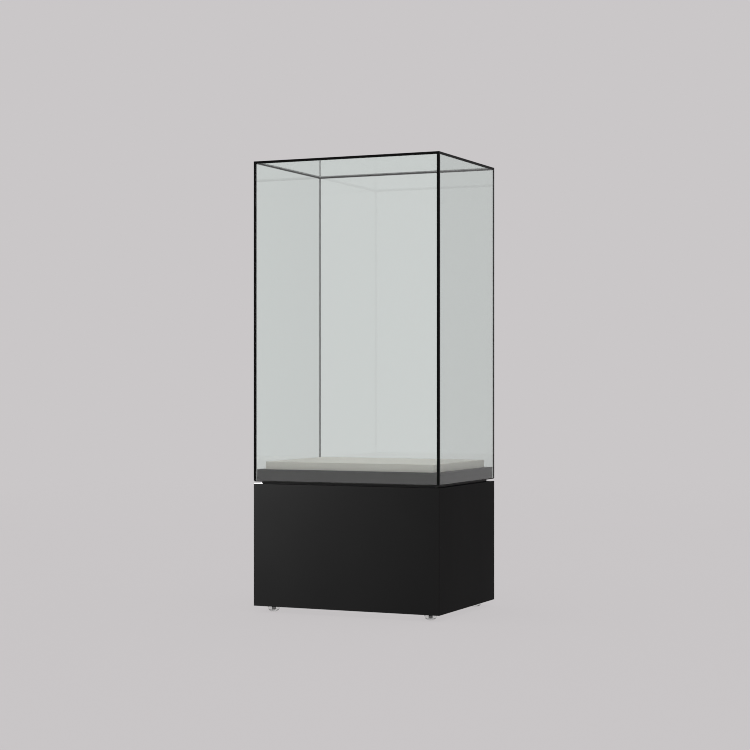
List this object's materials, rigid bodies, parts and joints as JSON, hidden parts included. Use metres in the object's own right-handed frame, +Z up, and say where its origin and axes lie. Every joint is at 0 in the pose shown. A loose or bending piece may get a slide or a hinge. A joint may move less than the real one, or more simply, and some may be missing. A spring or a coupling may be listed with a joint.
{
  "type": "museum display case",
  "caption": "Free-standing display case: clear acrylic hood with black edges that lifts off over a deck and riser, on a black steel plinth with levelling feet.",
  "frame": {"origin": "centre of the footprint on the floor plane, at the undersides of the four levelling feet", "axes": "+Z up, -Y towards the front, +X to the right seen from the front; the hood lifts along +Z"},
  "size_m": [0.8, 0.6, 1.8],
  "materials": {
    "clear_acrylic": "gloss",
    "black_edge": "satin",
    "foam_rubber": "matte",
    "deck_grey": "matte",
    "riser_white": "satin",
    "raw_board": "matte",
    "beech": "matte",
    "plinth_black": "satin",
    "frame_black": "matte",
    "zinc_steel": "satin",
    "black_steel": "satin",
    "clear_cup": "gloss"
  },
  "bodies": {
    "plinth": {"hood_seal": "foam_rubber", "ledge_plate": "deck_grey", "neck_ring": "frame_black", "deck_pan": "deck_grey", "deck_board": "raw_board", "deck_bearer_left": "frame_black", "deck_bearer_right": "frame_black", "riser_dowels": "beech", "deck_bolts": "zinc_steel", "plinth_shell": "plinth_black", "base_pan": "zinc_steel", "base_rail_front": "frame_black", "base_rail_back": "frame_black", "base_rail_left": "frame_black", "base_rail_right": "frame_black", "top_rail_front": "frame_black", "top_rail_back": "frame_black", "top_rail_left": "frame_black", "top_rail_right": "frame_black", "post_front_left": "frame_black", "post_front_right": "frame_black", "post_back_left": "frame_black", "post_back_right": "frame_black", "foot_plate_front_left": "frame_black", "foot_plate_front_right": "frame_black", "foot_plate_back_left": "frame_black", "foot_plate_back_right": "frame_black", "jam_nut_front_left": "zinc_steel", "jam_nut_front_right": "zinc_steel", "jam_nut_back_left": "zinc_steel", "jam_nut_back_right": "zinc_steel"},
    "hood": {"pane_front": "clear_acrylic", "pane_back": "clear_acrylic", "pane_left": "clear_acrylic", "pane_right": "clear_acrylic", "pane_top": "clear_acrylic", "corner_bar_front_left": "black_edge", "corner_bar_front_right": "black_edge", "corner_bar_back_left": "black_edge", "corner_bar_back_right": "black_edge", "top_bar_front": "black_edge", "top_bar_back": "black_edge", "top_bar_left": "black_edge", "top_bar_right": "black_edge"},
    "riser": {"riser_board": "riser_white"},
    "rear_panel": {"back_panel": "plinth_black", "back_panel_screws": "black_steel"},
    "foot_front_left": {"foot_cup_front_left": "clear_cup"},
    "stem_front_left": {"foot_stem_front_left": "black_steel"},
    "foot_front_right": {"foot_cup_front_right": "clear_cup"},
    "stem_front_right": {"foot_stem_front_right": "black_steel"},
    "foot_back_left": {"foot_cup_back_left": "clear_cup"},
    "stem_back_left": {"foot_stem_back_left": "black_steel"},
    "foot_back_right": {"foot_cup_back_right": "clear_cup"},
    "stem_back_right": {"foot_stem_back_right": "black_steel"}
  },
  "joints": [
    {"name": "hood_lift", "type": "slide", "parent": "plinth", "child": "hood", "axis": [0, 0, 1], "range_m": [0, 1.3]},
    {"name": "riser_lift", "type": "slide", "parent": "plinth", "child": "riser", "axis": [0, 0, 1], "range_m": [0, 0.05]},
    {"name": "rear_panel_pull", "type": "slide", "parent": "plinth", "child": "rear_panel", "axis": [0, 1, 0], "range_m": [0, 0.25]},
    {"name": "foot_slide_front_left", "type": "slide", "parent": "plinth", "child": "foot_front_left", "axis": [0, 0, -1], "range_m": [0, 0.015]},
    {"name": "stem_turn_front_left", "type": "hinge", "parent": "foot_front_left", "child": "stem_front_left", "pos_m": [-0.34, -0.24, 0.04], "axis": [0, 0, -1], "range_deg": [0, 2700]},
    {"name": "foot_slide_front_right", "type": "slide", "parent": "plinth", "child": "foot_front_right", "axis": [0, 0, -1], "range_m": [0, 0.015]},
    {"name": "stem_turn_front_right", "type": "hinge", "parent": "foot_front_right", "child": "stem_front_right", "pos_m": [0.34, -0.24, 0.04], "axis": [0, 0, -1], "range_deg": [0, 2700]},
    {"name": "foot_slide_back_left", "type": "slide", "parent": "plinth", "child": "foot_back_left", "axis": [0, 0, -1], "range_m": [0, 0.015]},
    {"name": "stem_turn_back_left", "type": "hinge", "parent": "foot_back_left", "child": "stem_back_left", "pos_m": [-0.34, 0.24, 0.04], "axis": [0, 0, -1], "range_deg": [0, 2700]},
    {"name": "foot_slide_back_right", "type": "slide", "parent": "plinth", "child": "foot_back_right", "axis": [0, 0, -1], "range_m": [0, 0.015]},
    {"name": "stem_turn_back_right", "type": "hinge", "parent": "foot_back_right", "child": "stem_back_right", "pos_m": [0.34, 0.24, 0.04], "axis": [0, 0, -1], "range_deg": [0, 2700]}
  ],
  "couplings": [
    {"joint": "stem_turn_front_left", "follows": "foot_slide_front_left", "rad_per_m": 3141.6},
    {"joint": "stem_turn_front_right", "follows": "foot_slide_front_right", "rad_per_m": 3141.6},
    {"joint": "stem_turn_back_left", "follows": "foot_slide_back_left", "rad_per_m": 3141.6},
    {"joint": "stem_turn_back_right", "follows": "foot_slide_back_right", "rad_per_m": 3141.6}
  ]
}
